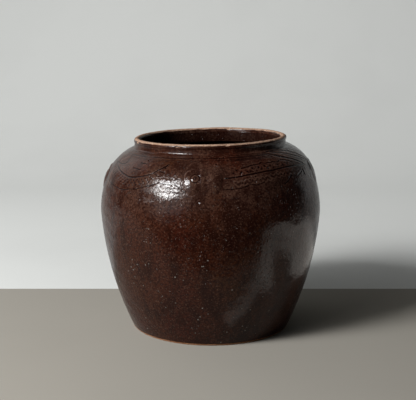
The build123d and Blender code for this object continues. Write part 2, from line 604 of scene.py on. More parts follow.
class Carving:
    """The ornament cut into the shoulder before glazing: swags, scales and combed lines.

    A place is degrees round the jar and millimetres along the section. The numbers after a
    stroke's places are its width, depth and rim in millimetres, and a negative depth is raised.
    """

    swag = (
        (-76, 279), (-70, 274.5), (-64.5, 270.5), (-60, 267), (-56, 264.5), (-53, 263),
        (-50.5, 261.5), (-47, 261.5), (-44, 262.5), (-41, 264.5), (-37, 267), (-34, 270),
        (-32, 273.5), (-30.5, 277), (-28, 281), (-25.5, 287),
    )
    swag_foot = (
        (-73, 248), (-66, 245), (-60, 242.5), (-54, 240.7), (-50, 241.5), (-46, 243.5),
        (-42, 245), (-38, 248), (-33, 252.5), (-28, 257.5), (-23, 256), (-18, 255.5),
        (-16, 252), (-14, 247), (-12, 243),
    )
    petal = (
        (-63.5, 298), (-61, 291), (-60.3, 285), (-61.5, 281), (-65, 279), (-75, 280),
    )
    scale_line = (
        (8, 264), (12, 264.5), (16, 265.5), (20, 267), (24, 268), (28, 269), (32, 270),
        (36, 270), (40, 271), (46, 271.5), (52, 271), (60, 270), (68, 267.5),
    )
    scale_foot = (
        (6.5, 248), (12, 248), (16.3, 249), (21, 253), (24, 251.5), (27, 253), (29, 254.5),
    )
    scale_tops = (
        (17.5, 278), (21, 279.5), (23, 281), (26, 282.5), (29.5, 283), (31, 285), (33.5, 283),
        (36, 283.5), (38, 283), (40, 285), (43, 281.5), (45.5, 285), (49, 284), (53, 280),
        (56, 276),
    )
    scale_punches = (
        (12.5, 271), (14.5, 275.5), (16.7, 271), (20.5, 272.5), (22.5, 272.5), (24, 277),
        (28.2, 277.5), (29.7, 274.5), (32.3, 278.5), (34, 275), (36.3, 277.5), (38, 274.5),
        (42, 278), (46, 276), (50, 277),
    )
    scale_ticks = (
        (21, 259.5), (24.5, 264), (16.5, 255.5), (27, 258.5), (30.5, 260), (39.5, 265),
        (41.5, 262), (44, 262),
    )

    upper_ring = (300.5, Waves(0.5, 2, 6, 31))
    lower_ring = (295.5, Waves(0.7, 2, 6, 37))
    combed_heights = (293.0, 296.0, 299.0, 302.0, 305.0)
    reach_in_widths = 5.0
    tightest_radius = 110.0
    rim_loss = 6.0

    def __init__(self) -> None:
        """Lays out the two front panels and repeats them on the far side."""
        front = self._swag_panel() + self._scale_panel()
        back = [stroke.moved(180.0) for stroke in front]
        self.strokes = front + back + self._mask_strokes() + self._rings()

    def _swag_panel(self) -> list[Stroke]:
        """The panel on the left: a hanging swag over rows of punch marks."""
        return [
            Stroke(self.swag, 0.95, 0.3, 0.08),
            Stroke(((-27, 281), (-24.8, 288)), 0.7, 0.25),
            Stroke(self.petal, 0.9, 0.3, 0.08),
            Stroke(self.swag_foot, 0.8, 0.22, 0.04),
            Stroke(((-34, 250), (-31, 254), (-28, 258)), 0.8, 0.25),
            Punches(rows_of_punches(self.swag, 2.7, (4.6, 8.4, 12.4)), 1.15, 0.34, 0.08),
            Punches(((-71, 291),), 1.5, 0.3, 0.05),
            Punches(((-37.5, 284.5),), 1.4, -0.35, 0.0),
            Stroke(((-50, 277), (-43.5, 275.5)), 0.7, 0.4),
            Stroke(((-46, 288), (-45, 286.5), (-42, 287)), 0.7, 0.4),
            Stroke(((-42, 293), (-40, 291.5)), 0.7, 0.4),
            Stroke(((-65, 301), (-66.5, 292), (-70, 283)), 1.2, -0.32, 0.0),
            Stroke(((-71, 302), (-74.5, 292), (-76, 283)), 1.4, -0.36, 0.0),
            # A wide, deep groove by the left outline, dark with the pool colour: painted shade for
            # the shaded side of the left mask.
            Stroke(((-81, 260), (-79.5, 254), (-80, 248)), 1.7, 0.5, 0.03),
            Stroke(((-74, 262), (-72, 252), (-72.5, 240)), 1.5, -0.24, 0.0),
        ]

    def _scale_panel(self) -> list[Stroke]:
        """The panel on the right: overlapping scales over a zigzag, and combed lines.

        Returns:
            Its strokes.
        """
        combed = [
            Stroke(((12, along), (30, along + 0.6), (42, along)), 0.75, 0.24, 0.05)
            for along in self.combed_heights
        ]
        return combed + [
            Stroke(self.scale_line, 0.95, 0.42, 0.08),
            Stroke(self.scale_foot, 0.9, 0.2, 0.06),
            Stroke(self.scale_tops, 0.9, 0.3, 0.08),
            Punches(self.scale_punches, 1.8, 0.3, 0.06),
            Punches(rows_of_punches(self.scale_line[1:11], 2.6, (-3.6, -7.6)), 1.05, 0.22, 0.1),
            Stroke(zigzag((13, 255), (33, 259.5), 3.1, 1.9), 1.15, 0.13, 0.14),
            Stroke(zigzag((34, 261), (52, 263), 3.7, 1.6), 1.1, 0.11, 0.12),
            Punches(self.scale_ticks, 1.0, 0.45, 0.15),
            Stroke(((42, 248), (45, 251), (48, 257), (49.5, 258)), 0.8, 0.4),
            Stroke(((45, 305), (51, 300.5), (57, 294.5), (69, 280.5), (76, 271.5)), 1.2, 0.5, 0.22),
            Stroke(((41, 301), (48, 291.5), (57.5, 282), (67, 270)), 1.2, 0.5, 0.22),
            Stroke(((42, 307), (53, 306), (63, 299), (72.5, 283), (79, 272)), 1.2, 0.5, 0.22),
            Stroke(((46, 297), (53, 288), (62, 277.5), (69, 266)), 0.9, 0.35, 0.15),
            Stroke(((57, 303), (66, 294), (74, 280)), 0.9, 0.35, 0.15),
            Stroke(((66, 268), (67, 256), (68, 246)), 1.3, -0.26, 0.0),
            Stroke(((55, 256), (60, 260)), 1.0, 0.5),
            Stroke(((62, 262), (62.5, 254)), 1.3, 0.5, 0.1),
            Stroke(((73, 264), (76, 254), (78, 247)), 1.2, 0.5, 0.1),
        ]

    def _mask_strokes(self) -> list[Stroke]:
        """The short strokes over the front mask and the ticks below it."""
        return [
            Stroke(((1, 303), (0.5, 290), (1.5, 282)), 0.9, 0.1),
            Stroke(((3.2, 289), (3, 279)), 0.9, 0.1),
            Stroke(((6, 300), (5, 285)), 0.9, 0.1),
            Stroke(((10.5, 299), (10.7, 291)), 0.9, 0.1),
            Punches(((8.5, 301.5), (3.5, 288), (1.5, 308)), 1.0, 0.5, 0.1),
            Stroke(((-4.5, 251), (-2, 249)), 0.8, 0.35),
            Stroke(((-6.5, 221.5), (-3, 223), (0.5, 222.5)), 0.9, 0.13, 0.08),
            Stroke(((-2.5, 226.5), (1.5, 227), (4, 228)), 0.9, 0.12, 0.06),
            Stroke(((5, 234), (9, 233), (14, 235)), 0.9, 0.12, 0.06),
        ]

    def _rings(self) -> list[Stroke]:
        """The turned lines that run right round under the neck.

        Returns:
            Their strokes.
        """
        turn = np.arange(-180.0, 181.0, 6.0)
        upper, lower = (
            tuple(zip(turn.tolist(), (height + waves.line(turn)).tolist()))
            for height, waves in (self.upper_ring, self.lower_ring)
        )
        return [Stroke(upper, 1.0, 0.2, 0.02), Stroke(lower, 0.9, 0.14, 0.02)]

    def depth(self, azimuth: Array, along: Array, radius: Array) -> Array:
        """The relief of every stroke on a grid.

        Each stroke works on the part of the grid near it. The distance of a grid point from a
        line is the least over its runs, with degrees turned to millimetres at the row's
        radius. The deepest cut wins where strokes cross, and a rim is lost where it is cut, by
        e to the power of rim_loss times the cut.

        Args:
            azimuth: Degrees from -180 to 180, one for each column.
            along: Millimetres along the section, one for each row.
            radius: The skin's radius at each row.

        Returns:
            Millimetres out of the skin, rows by columns.
        """
        low, high = np.zeros((2, along.size, azimuth.size))
        for stroke in self.strokes:
            line = np.array(stroke.line, dtype=float)
            centre = (line[:, 0].min() + line[:, 0].max()) / 2.0
            reach = self.reach_in_widths * stroke.width
            near = round_from(azimuth, centre)
            half = (line[:, 0].max() - line[:, 0].min()) / 2.0
            half += np.degrees(reach / self.tightest_radius)
            columns = np.flatnonzero(np.abs(near) <= half)
            rows = np.flatnonzero(
                (along > line[:, 1].min() - reach) & (along < line[:, 1].max() + reach)
            )
            if not rows.size or not columns.size:
                continue
            scale = np.radians(radius[rows])[:, None]
            across = near[columns][None, :] * scale
            up = np.broadcast_to(along[rows][:, None], across.shape)
            distance = self._distance(stroke, line - (centre, 0.0), across, up, scale)
            cut = stroke.shape(distance)
            block = np.ix_(rows, columns)
            low[block] = np.minimum(low[block], cut)
            high[block] = np.maximum(high[block], cut)
        return low + high * np.exp(low * self.rim_loss)

    @staticmethod
    def _distance(stroke: Stroke, line: Array, across: Array, up: Array, scale: Array) -> Array:
        """Millimetres from each grid point to a stroke's runs, or to its separate places.

        Args:
            stroke: The stroke.
            line: Its places, with degrees from the middle of the grid.
            across: Millimetres round to each grid point.
            up: Millimetres up to each grid point.
            scale: Millimetres in a degree at each row.

        Returns:
            The distances.
        """
        best = np.full(across.shape, np.inf)
        if isinstance(stroke, Punches):
            for azimuth, along in line:
                best = np.minimum(best, np.hypot(across - azimuth * scale, up - along))
            return best
        for (a0, s0), (a1, s1) in zip(line[:-1], line[1:]):
            x0, dx, dy = a0 * scale, (a1 - a0) * scale, s1 - s0
            part = ((across - x0) * dx + (up - s0) * dy) / (dx * dx + dy * dy)
            part = np.clip(part, 0.0, 1.0)
            best = np.minimum(best, np.hypot(across - x0 - part * dx, up - s0 - part * dy))
        return best


class Band(NamedTuple):
    """A strip of a piece's skin, row by row, with what the glaze does along it."""

    points: Array
    relief: Array
    bare: Array


def plain_band(points: Array, relief: float = 0.0) -> Band:
    """A strip of even relief, which only darkens its glaze as painted shade, and no bare clay."""
    nothing = np.zeros(points.shape[:2])
    return Band(points, nothing + relief, nothing)


def spaced(*zones: tuple[float, float, float]) -> Array:
    """Row places over zones that meet, each zone with its own pitch.

    Args:
        zones: Start, end and pitch of each zone.

    Returns:
        The places, with both outer ends.
    """
    parts = []
    for start, end, pitch in zones:
        count = max(1, int(round(abs(end - start) / pitch)))
        parts.append(np.linspace(start, end, count, endpoint=False))
    return np.concatenate([*parts, [zones[-1][1]]])


def grid_faces(rows: int, columns: int, closed: bool) -> Array:
    """Quads between rows of a grid that wraps round its columns, facing outwards.

    Args:
        rows: Rows of vertices.
        columns: Vertices in a row.
        closed: Whether the last row joins the first.

    Returns:
        Four vertex numbers for each quad.
    """
    upper = rows if closed else rows - 1
    row, column = np.meshgrid(np.arange(upper), np.arange(columns), indexing="ij")
    above, beside = (row + 1) % rows, (column + 1) % columns
    corners = (
        row * columns + column,
        row * columns + beside,
        above * columns + beside,
        above * columns + column,
    )
    return np.stack(corners, axis=-1).reshape(-1, 4)


def new_mesh(name: str, points: Array, faces: Sequence[Array], creases: Array) -> Object:
    """Makes a smooth-shaded object from vertices in millimetres and faces of any kind.

    Args:
        name: The piece's name.
        points: Vertices, one row each.
        faces: Arrays of faces, each with its own number of corners.
        creases: For each vertex, the number of its crease line, or -1.

    Returns:
        The object, linked to the scene.
    """
    mesh = bpy.data.meshes.new(name)
    corners = np.concatenate([part.ravel() for part in faces]).astype(np.int32)
    sizes = np.concatenate([np.full(len(part), part.shape[1]) for part in faces])
    starts = np.concatenate([[0], np.cumsum(sizes)[:-1]]).astype(np.int32)
    mesh.vertices.add(len(points))
    mesh.vertices.foreach_set("co", (points * MM).astype(np.float32).ravel())
    mesh.loops.add(corners.size)
    mesh.loops.foreach_set("vertex_index", corners)
    mesh.polygons.add(sizes.size)
    mesh.polygons.foreach_set("loop_start", starts)
    mesh.update(calc_edges=True)
    mesh.validate()
    mesh.shade_smooth()
    ends = np.empty(len(mesh.edges) * 2, dtype=np.int32)
    mesh.edges.foreach_get("vertices", ends)
    first, second = creases[ends[0::2]], creases[ends[1::2]]
    sharp = mesh.attributes.new("sharp_edge", "BOOLEAN", "EDGE")
    sharp.data.foreach_set("value", (first == second) & (first >= 0))
    piece = bpy.data.objects.new(name, mesh)
    bpy.context.scene.collection.objects.link(piece)
    return piece


def pole_fans(rows: int, columns: int) -> list[Array]:
    """Triangles from the first and the last row of a grid to a pole each, facing outwards.

    Args:
        rows: Rows of vertices, which the two poles follow in the mesh.
        columns: Vertices in a row.

    Returns:
        Three vertex numbers for each triangle, fan by fan.
    """
    column = np.arange(columns)
    beside = (column + 1) % columns
    first, top = rows * columns, (rows - 1) * columns
    lower = np.stack([np.full(columns, first), beside, column], axis=-1)
    upper = np.stack([np.full(columns, first + 1), top + column, top + beside], axis=-1)
    return [lower, upper]


def clay_piece(name: str, bands: Sequence[Band], poles: Sequence[Array] = ()) -> Object:
    """Closes strips that meet end to end into one solid of clay.

    Without poles the last strip ends where the first starts, and the piece is a ring. With
    them the strips run from one pole to the other. Each strip starts with a crease, and the
    mesh keeps the relief and bareness of every vertex for the materials.

    Args:
        name: The piece's name.
        bands: The strips, in order.
        poles: No points, or the two end points.

    Returns:
        The object.
    """
    ring = not len(poles)
    ends = [-1] * (len(bands) - 1) + [-1 if ring else None]
    strips = [Band(*(grid[:end] for grid in band)) for band, end in zip(bands, ends)]
    points, relief, bare = (np.concatenate(grids) for grids in zip(*strips))
    rows, columns = bare.shape
    creases = np.full((rows, columns), -1)
    starts = np.cumsum([0] + [len(strip.bare) for strip in strips[:-1]])
    for number, start in enumerate(starts):
        if ring or number:
            creases[start] = number
    faces = [grid_faces(rows, columns, ring)]
    vertices, marked = points.reshape(-1, 3), creases.ravel()
    if not ring:
        faces += pole_fans(rows, columns)
        vertices, marked = np.concatenate([vertices, poles]), np.append(marked, [-1, -1])
    piece = new_mesh(name, vertices, faces, marked)
    for attribute, values in (("relief", relief), ("bare", bare)):
        layer = piece.data.attributes.new(attribute, "FLOAT", "POINT")
        flat = np.append(values.ravel(), np.zeros(len(poles)))
        layer.data.foreach_set("value", flat.astype(np.float32))
    return piece


def dress(piece: Object, node: str, material: Material, slot: Slot) -> Object:
    """Gives a piece its finish and puts it in the place of its node.

    Args:
        piece: The piece.
        node: The node of clay that it stands for.
        material: Its finish.
        slot: Not used.

    Returns:
        The piece.
    """
    piece.data.materials.append(material)
    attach(piece, "root")
    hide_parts(node)
    return piece


class Span(NamedTuple):
    """How a value is weighed: from low to high it goes smoothly from start to end."""

    low: float
    high: float
    start: float = 0.0
    end: float = 1.0


class Cloud(NamedTuple):
    """Patches made from cloudy noise: waves for each metre, finer layers and their strength."""

    scale: float
    detail: float
    rough: float = 0.5
    span: Span = Span(0.0, 1.0)


class Nodes:
    """A short way to lay out a material's nodes."""

    def __init__(self, name: str) -> None:
        """Starts an empty node material.

        Args:
            name: The material's name.
        """
        self.material = bpy.data.materials.new(name)
        self.material.use_nodes = True
        self.tree = self.material.node_tree
        self.tree.nodes.clear()
        self.output = self.add("ShaderNodeOutputMaterial")
        self.coordinates = self.add("ShaderNodeTexCoord").outputs["Object"]

    def add(self, kind: str, **settings: object) -> bpy.types.Node:
        """Adds a node and sets its own properties.

        Args:
            kind: The node's type.
            settings: Its properties.

        Returns:
            The node.
        """
        node = self.tree.nodes.new(kind)
        for name, value in settings.items():
            setattr(node, name, value)
        return node

    def join(self, source: Socket, target: Socket) -> None:
        """Links one socket to another."""
        self.tree.links.new(source, target)

    def feed(self, target: Socket, value: object) -> None:
        """Links a socket to a node's input, or sets a plain value on it.

        Args:
            target: The input.
            value: A socket, a colour or a number.
        """
        if isinstance(value, Socket):
            self.join(value, target)
        elif isinstance(value, tuple):
            target.default_value = (*value, 1.0)
        else:
            target.default_value = value

    def attribute(self, name: str) -> Socket:
        """Reads one of the mesh's named numbers."""
        return self.add("ShaderNodeAttribute", attribute_name=name).outputs["Fac"]

    def height(self) -> Socket:
        """Metres over the floor.

        Returns:
            The height.
        """
        node = self.add("ShaderNodeSeparateXYZ")
        self.join(self.coordinates, node.inputs["Vector"])
        return node.outputs["Z"]

    def noise(self, cloud: Cloud, where: Socket | None = None) -> Socket:
        """Cloudy noise from 0 to 1, not yet weighed.

        Args:
            cloud: What it looks like.
            where: Its coordinates, where they aren't the object's own.

        Returns:
            The noise.
        """
        node = self.add("ShaderNodeTexNoise")
        self.join(where or self.coordinates, node.inputs["Vector"])
        node.inputs["Scale"].default_value = cloud.scale
        node.inputs["Detail"].default_value = cloud.detail
        node.inputs["Roughness"].default_value = cloud.rough
        return node.outputs["Fac"]

    def patches(self, cloud: Cloud, where: Socket | None = None) -> Socket:
        """Cloudy noise, weighed by its own span."""
        return self.ramp(self.noise(cloud, where), cloud.span)

    def dots(self, scale: float, span: Span) -> Socket:
        """Dots about scattered points, weighed by the distance from the nearest.

        Args:
            scale: Points for each metre, which is also the distance's unit.
            span: How the distance is weighed.

        Returns:
            The weight.
        """
        node = self.add("ShaderNodeTexVoronoi")
        self.join(self.coordinates, node.inputs["Vector"])
        node.inputs["Scale"].default_value = scale
        return self.ramp(node.outputs["Distance"], span)

    def ramp(self, value: Socket, span: Span) -> Socket:
        """Weighs a value by a span, without going past its ends.

        Args:
            value: The value.
            span: What it is mapped from and to.

        Returns:
            The weight.
        """
        node = self.add("ShaderNodeMapRange", interpolation_type="SMOOTHSTEP")
        self.join(value, node.inputs["Value"])
        for name, number in zip(("From Min", "From Max", "To Min", "To Max"), span):
            node.inputs[name].default_value = number
        return node.outputs["Result"]

    def sum(self, kind: str, first: object, second: object) -> Socket:
        """One sum on two values.

        Args:
            kind: The sum, such as ADD or MULTIPLY.
            first: A socket or a number.
            second: Another.

        Returns:
            The result.
        """
        node = self.add("ShaderNodeMath", operation=kind)
        self.feed(node.inputs[0], first)
        self.feed(node.inputs[1], second)
        return node.outputs[0]

    def mix(self, factor: Socket, first: object, second: object) -> Socket:
        """A colour between two others.

        Args:
            factor: 0 for the first, 1 for the second.
            first: A socket or a colour.
            second: Another.

        Returns:
            The colour.
        """
        node = self.add("ShaderNodeMix", data_type="RGBA")
        self.feed(node.inputs["Factor"], factor)
        self.feed(node.inputs["A"], first)
        self.feed(node.inputs["B"], second)
        return node.outputs["Result"]

    def bump(self, height: Socket, depth: float, under: Socket | None = None) -> Socket:
        """Tips the shading normal as if the surface rose by depth where height is 1.

        Args:
            height: The height, from 0 to 1.
            depth: The rise in metres.
            under: The normal of the bumps that these lie on.

        Returns:
            The normal.
        """
        node = self.add("ShaderNodeBump")
        node.inputs["Strength"].default_value = 1.0
        node.inputs["Distance"].default_value = depth
        self.join(height, node.inputs["Height"])
        if under is not None:
            self.join(under, node.inputs["Normal"])
        return node.outputs["Normal"]

    def finished(self, shader: bpy.types.Node) -> Material:
        """The material, with this shader on its surface."""
        self.join(shader.outputs["BSDF"], self.output.inputs["Surface"])
        return self.material


@dataclass(frozen=True)
class Glaze:
    """Dark, glossy, speckled iron glaze that thins to brown on ridges and pools in cuts. Its dark
    pool colour also paints shade into the cuts and over the inside of the jar, and its pale specks
    are partly painted glints.

    Heights over the floor and depths of bumps are in metres, the carved relief in millimetres.
    """

    deep: Colour = (0.0105, 0.0024, 0.0013)
    # The dark colour of glaze pooled in cuts, which also serves as painted shade in the cuts and
    # inside the jar.
    pool_and_shade: Colour = (0.0042, 0.0010, 0.0006)
    body: Colour = (0.035, 0.0090, 0.0040)
    warm: Colour = (0.034, 0.0066, 0.0034)
    olive: Colour = (0.034, 0.0115, 0.0042)
    drab: Colour = (0.052, 0.0265, 0.0180)
    thin: Colour = (0.074, 0.038, 0.026)
    # Pale specks, brightened to serve partly as painted glints.
    speck_and_glint: Colour = (0.170, 0.160, 0.145)
    drifts: Cloud = Cloud(7.0, 2.0, span=Span(0.35, 0.65))
    fields: Cloud = Cloud(26.0, 3.0, span=Span(0.3, 0.7))
    drabs: Cloud = Cloud(17.0, 2.0, span=Span(0.38, 0.62))
    drab_height: Span = Span(0.15, 0.26, 0.12, 0.9)
    runs: Cloud = Cloud(44.0, 3.0, 0.6, Span(0.46, 0.62, 0.0, 0.78))
    run_squeeze: Point = (1.0, 1.0, 0.28)
    mottle: Cloud = Cloud(320.0, 4.0, 0.75, Span(0.39, 0.61, 0.08, 1.0))
    flecks: Cloud = Cloud(470.0, 2.0, 0.6, Span(0.57, 0.68, 0.0, 0.66))
    on_ridge: Span = Span(0.02, 0.12, 0.0, 0.55)
    # Where the relief sinks, the colour turns to the pool colour: pooled glaze, and painted shade
    # in cuts and inside.
    in_cut_and_shade: Span = Span(-0.02, -0.20, 0.0, 0.95)
    speck_scale: float = 122.0
    speck_size: Span = Span(0.15, 0.08, 0.0, 0.9)
    speck_places: Cloud = Cloud(60.0, 0.0, span=Span(0.51, 0.63))
    speck_height: Span = Span(0.21, 0.15, 0.2, 1.0)
    gloss: float = 0.32
    satin: float = 0.42
    satins: Cloud = Cloud(90.0, 3.0)
    satin_share: Place = (0.3, 0.75)
    specular: float = 0.02
    glass: float = 0.45
    glass_roughness: float = 0.045
    lumps: Cloud = Cloud(150.0, 1.0)
    lump_depth: float = 0.00033
    peel: Cloud = Cloud(330.0, 2.0)
    peel_depth: float = 0.00027
    grain: Cloud = Cloud(1300.0, 1.0)
    grain_depth: float = 0.00008
    pinhole_scale: float = 190.0
    pinhole_size: Span = Span(0.10, 0.24)
    pinhole_gaps: Cloud = Cloud(75.0, 0.0, span=Span(0.49, 0.41))
    pinhole_depth: float = 0.0005

    def colour(self, n: Nodes) -> Socket:
        """The glaze's colour: slow drifts, fine mottle, ridges, pools with painted shade and pale
        specks partly painted as glints.

        Args:
            n: The material's nodes.

        Returns:
            The colour.
        """
        height = n.height()
        base = n.mix(n.patches(self.drifts), self.warm, self.olive)
        base = n.mix(n.patches(self.fields), base, self.body)
        drabs = n.sum("MULTIPLY", n.patches(self.drabs), n.ramp(height, self.drab_height))
        base = n.mix(drabs, base, self.drab)
        base = n.mix(n.patches(self.runs, self.squeezed(n)), base, self.deep)
        base = n.mix(n.patches(self.mottle), self.deep, base)
        base = n.mix(n.patches(self.flecks), base, self.thin)
        relief = n.attribute("relief")
        base = n.mix(n.ramp(relief, self.on_ridge), base, self.thin)
        # Pooled glaze in cuts, darkened as painted shade; the inner walls' negative relief paints
        # them in shade too.
        base = n.mix(n.ramp(relief, self.in_cut_and_shade), base, self.pool_and_shade)
        # Pale specks, partly painted glints, with more of them low on the jar.
        places = n.sum("MULTIPLY", n.patches(self.speck_places), n.ramp(height, self.speck_height))
        specks = n.sum("MULTIPLY", n.dots(self.speck_scale, self.speck_size), places)
        return n.mix(specks, base, self.speck_and_glint)

    def squeezed(self, n: Nodes) -> Socket:
        """Object coordinates squeezed upright, which draws out glaze that has run down.

        Args:
            n: The material's nodes.

        Returns:
            The coordinates.
        """
        node = n.add("ShaderNodeMapping")
        n.join(n.coordinates, node.inputs["Vector"])
        node.inputs["Scale"].default_value = self.run_squeeze
        return node.outputs["Vector"]

    def surface(self, n: Nodes) -> Socket:
        """The glaze's bumps: lumps, orange peel, fine grain and pinholes.

        Args:
            n: The material's nodes.

        Returns:
            The normal.
        """
        lumps = n.bump(n.noise(self.lumps), self.lump_depth)
        peel = n.bump(n.noise(self.peel), self.peel_depth, lumps)
        grain = n.bump(n.noise(self.grain), self.grain_depth, peel)
        pinholes = n.dots(self.pinhole_scale, self.pinhole_size)
        whole = n.sum("MAXIMUM", pinholes, n.patches(self.pinhole_gaps))
        return n.bump(whole, self.pinhole_depth, grain)

    def coated(self, n: Nodes, colour: Socket, roughness: Socket, weight: object,
               normal: Socket | None = None) -> Material:
        """A glassy coat with the glaze's bumps over a duller body.

        Args:
            n: The material's nodes.
            colour: The body's colour.
            roughness: The body's roughness.
            weight: How much coat there is, a socket or a number.
            normal: The body's own bumps, where they aren't the glaze's.

        Returns:
            The material.
        """
        bumps = self.surface(n)
        shader = n.add("ShaderNodeBsdfPrincipled")
        n.join(colour, shader.inputs["Base Color"])
        n.join(roughness, shader.inputs["Roughness"])
        n.join(normal or bumps, shader.inputs["Normal"])
        n.join(bumps, shader.inputs["Coat Normal"])
        n.feed(shader.inputs["Coat Weight"], weight)
        shader.inputs["Specular IOR Level"].default_value = self.specular
        shader.inputs["Coat Roughness"].default_value = self.glass_roughness
        return n.finished(shader)

    def material(self) -> Material:
        """Builds the glaze's material, glossy with duller patches.

        Returns:
            The material.
        """
        n = Nodes("brown_glaze")
        dullness = Span(*self.satin_share, self.gloss, self.satin)
        return self.coated(n, self.colour(n), n.ramp(n.noise(self.satins), dullness), self.glass)


@dataclass(frozen=True)
class BareClay:
    """Fired clay worn bare, with glaze left on it where the mesh says that it isn't bare."""

    name: str
    pale: Colour
    dark: Colour
    glaze: Glaze = Glaze()
    grit: Cloud = Cloud(520.0, 4.0, 0.7, Span(0.3, 0.7))
    stains: Cloud = Cloud(70.0, 3.0, span=Span(0.52, 0.72, 0.0, 0.75))
    ragged: Cloud = Cloud(300.0, 3.0, 0.6)
    ragged_strength: float = 0.7
    edge: Span = Span(0.42, 0.58)
    dry: float = 0.78
    tooth: Cloud = Cloud(700.0, 3.0)
    tooth_depth: float = 0.00018

    def material(self) -> Material:
        """Builds the clay's material, whose noise frays the edge between clay and glaze.

        Returns:
            The material.
        """
        n = Nodes(self.name)
        clay = n.mix(n.patches(self.grit), self.dark, self.pale)
        clay = n.mix(n.patches(self.stains), clay, self.dark)
        ragged = n.sum("SUBTRACT", n.noise(self.ragged), 0.5)
        ragged = n.sum("MULTIPLY", ragged, self.ragged_strength)
        bare = n.ramp(n.sum("ADD", n.attribute("bare"), ragged), self.edge)
        colour = n.mix(bare, self.glaze.colour(n), clay)
        roughness = n.ramp(bare, Span(0.0, 1.0, self.glaze.gloss, self.dry))
        coat = n.ramp(bare, Span(0.0, 1.0, self.glaze.glass, 0.0))
        tooth = n.bump(n.noise(self.tooth), self.tooth_depth)
        return self.glaze.coated(n, colour, roughness, coat, tooth)


@dataclass(frozen=True)
class Paint:
    """The matt, slightly cloudy paint of the floor and backdrop."""

    name: str
    colour: Colour
    clouds: Cloud = Cloud(3.0, 2.0, span=Span(0.2, 0.8, 0.97, 1.03))

    def material(self) -> Material:
        """Builds the paint's material.

        Returns:
            The material.
        """
        n = Nodes(self.name)
        shader = n.add("ShaderNodeBsdfDiffuse")
        tone = n.mix(n.patches(self.clouds), (0.0, 0.0, 0.0), self.colour)
        n.join(tone, shader.inputs["Color"])
        return n.finished(shader)


@dataclass
class Walls:
    """The thrown and joined walls of the jar, each a closed ring in its own place."""

    skin: Skin
    glaze: Material
    # Relief that turns the inner walls' glaze dark: painted shade inside the jar.
    painted_shade_inside: float = -0.135
    plain_pitch: float = 2.6
    seam_reach: float = 10.0
    seam_pitch: float = 0.8
    upper_pitch: float = 1.6
    carved_from: float = 237.0
    carved_pitch: float = 0.65
    neck_pitch: float = 0.5
    lower_inside_pitch: float = 12.0
    inside_pitch: float = 6.0
    bore_pitch: float = 2.5
    azimuth: Array = field(default_factory=lambda: np.arange(COLUMNS) * 360.0 / COLUMNS - 180.0)

    def outside(self, *zones: tuple[float, float, float]) -> Band:
        """A strip of the outer skin with its unevenness and carving.

        Args:
            zones: Start, end and pitch of the rows in each zone.

        Returns:
            The strip.
        """
        along = spaced(*zones)
        relief = self.skin.relief(self.azimuth, along)
        lift = relief + self.skin.unevenness(self.azimuth, along)
        points = self.skin.points(self.azimuth[None, :], along[:, None], lift)
        return Band(points, relief, np.zeros(relief.shape))

    def inside(self, start: Mark, end: Mark, pitch: float) -> Band:
        """A strip of the inner skin between two marks, downwards, its glaze darkened as painted
        shade.

        Args:
            start: Its upper end.
            end: Its lower end.
            pitch: Millimetres from row to row.

        Returns:
            The strip.
        """
        along = spaced((self.skin.marks[start], self.skin.marks[end], pitch))
        points = self.skin.points(self.azimuth[None, :], along[:, None])
        return plain_band(points, self.painted_shade_inside)

    @staticmethod
    def across(start: Array, end: Array) -> Band:
        """The straight strip of a seam between two rows that exist already."""
        return plain_band(np.stack([start, end]))

    def ring(self, node: str, outer: Band, inner: Band) -> Object:
        """Closes an outer and an inner strip into a glazed ring.

        Args:
            node: The node of clay that it stands for.
            outer: The outer strip, upwards.
            inner: The inner strip, downwards.

        Returns:
            The piece.
        """
        top = self.across(outer.points[-1], inner.points[0])
        bottom = self.across(inner.points[-1], outer.points[0])
        piece = clay_piece(node + "_skin", [outer, top, inner, bottom])
        return dress(piece, node, self.glaze, Slot.GLAZE)

    def build(self) -> list[Object]:
        """Builds the walls, whose rows lie closer by the belly's seam and where they are carved.

        Returns:
            The lower wall, the upper wall, the shoulder and the neck.
        """
        at = self.skin.marks
        band, belly, shoulder = at[Mark.BAND_TOP], at[Mark.BELLY], at[Mark.SHOULDER]
        root, top = at[Mark.NECK_ROOT], at[Mark.NECK_TOP]
        under, over = belly - self.seam_reach, belly + self.seam_reach
        lower = self.outside((band, under, self.plain_pitch), (under, belly, self.seam_pitch))
        upper = self.outside(
            (belly, over, self.seam_pitch),
            (over, self.carved_from, self.upper_pitch),
            (self.carved_from, shoulder, self.carved_pitch),
        )
        dome = self.outside((shoulder, root, self.carved_pitch))
        neck = self.outside((root, top, self.neck_pitch))
        return [
            self.ring("lower_wall", lower,
                      self.inside(Mark.BELLY_SEAM, Mark.COIL_TOP, self.lower_inside_pitch)),
            self.ring("upper_wall", upper,
                      self.inside(Mark.SHOULDER_SEAM, Mark.BELLY_SEAM, self.inside_pitch)),
            self.ring("shoulder_wall", dome,
                      self.inside(Mark.THROAT, Mark.SHOULDER_SEAM, self.inside_pitch)),
            self.ring("neck_ring", neck,
                      self.inside(Mark.BORE_TOP, Mark.THROAT, self.bore_pitch)),
        ]


@dataclass(frozen=True)
class Chip:
    """A flake knocked off the lip: where it is, how far it reaches and how deep it is."""

    azimuth: float
    along: float
    wide: float
    high: float
    depth: float
    bare: float = 0.9


